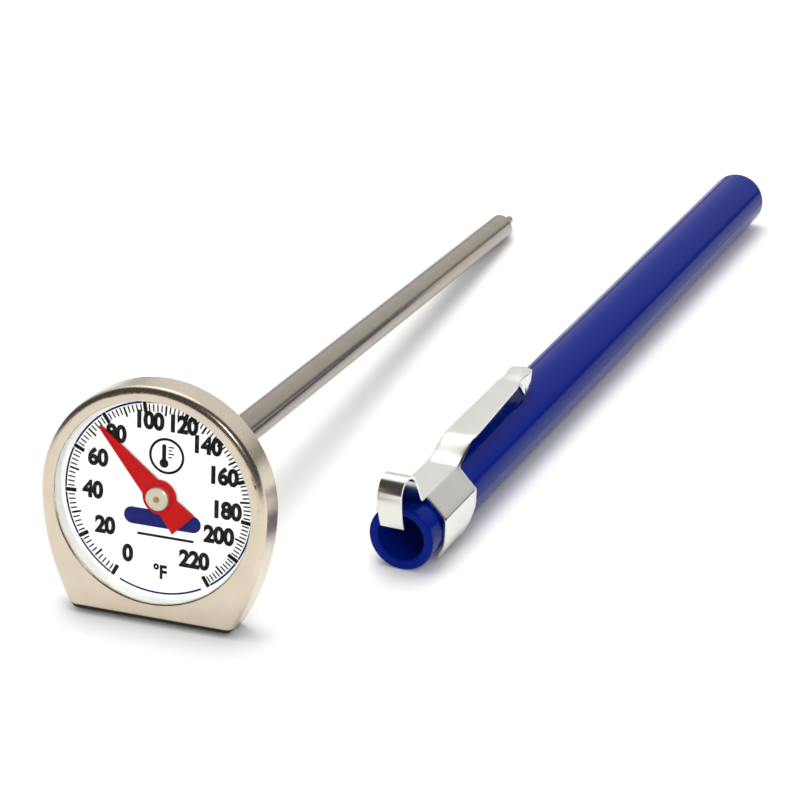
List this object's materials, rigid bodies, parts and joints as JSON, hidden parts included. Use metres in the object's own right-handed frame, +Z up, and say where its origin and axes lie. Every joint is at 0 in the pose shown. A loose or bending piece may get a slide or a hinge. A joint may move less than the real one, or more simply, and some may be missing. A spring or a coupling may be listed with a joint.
{
  "type": "pocket dial thermometer",
  "caption": "Pocket dial thermometer: flat-footed steel head with a red pointer and Fahrenheit dial, long steel probe, and a blue clip-on sheath beside it.",
  "frame": {"origin": "on the table under the middle of the thermometer and its sheath as they lie side by side", "axes": "+Z up from the table, +Y along the sheath away from its mouth (the way the probe points), +X towards the sheath from the thermometer"},
  "size_m": [0.037, 0.1482, 0.0269],
  "materials": {
    "case_steel": "satin stainless steel, slightly warm, with a bright rounded front edge",
    "seal_white": "white silicone",
    "lens_clear": "clear polished",
    "spacer_white": "matt white",
    "dial_white": "smooth white enamel with a printed scale",
    "seal_black": "matt black",
    "cover_steel": "satin stainless steel, spun",
    "hub_steel": "turned steel",
    "spring_steel": "dull spring steel",
    "nut_steel": "satin machined steel",
    "probe_steel": "fine lengthwise brushed stainless steel",
    "bimetal_strip": "bare rolled strip",
    "spindle_brass": "bright drawn",
    "guide_white": "low-friction white plastic",
    "pointer_red": "satin red enamel",
    "hub_nickel": "dull nickel plate",
    "sheath_blue": "glossy moulded dark blue",
    "clip_chrome": "bright nickel plate"
  },
  "bodies": {
    "head": {"front_case": "case_steel", "lens_gasket": "seal_white", "lens": "lens_clear", "spacer_ring": "spacer_white", "dial_plate": "dial_white", "rear_seal": "seal_black", "rear_cover": "cover_steel", "hub_bushing": "hub_steel", "friction_washer": "spring_steel"},
    "probe": {"retaining_clip": "spring_steel", "calibration_nut": "nut_steel", "hub_oring": "seal_black", "probe_tube": "probe_steel", "probe_tip": "probe_steel", "coil_anchor": "hub_steel", "bimetal_coil": "bimetal_strip", "upper_guide": "guide_white", "middle_guide": "guide_white", "lower_guide": "guide_white"},
    "pointer_shaft": {"pointer": "pointer_red", "pointer_hub": "hub_nickel", "spindle": "spindle_brass", "coil_driver": "spindle_brass"},
    "sheath": {"sheath_tube": "sheath_blue", "pocket_clip": "clip_chrome"}
  },
  "joints": [
    {"name": "calibration_turn", "type": "hinge", "parent": "head", "child": "probe", "pos_m": [-0.00577, -0.0645, 0.01324], "axis": [0.0793, -0.9921, 0.097], "continuous": true},
    {"name": "pointer_swing", "type": "hinge", "parent": "probe", "child": "pointer_shaft", "pos_m": [-0.00536, -0.06966, 0.01374], "axis": [0.0793, -0.9921, 0.097], "range_deg": [-191.73, 105.97], "stiffness_Nm_per_rad": 0.0001},
    {"name": "sheath_slide", "type": "slide", "parent": "head", "child": "sheath", "axis": [0, 1, 0], "range_m": [0, 0.118]}
  ]
}
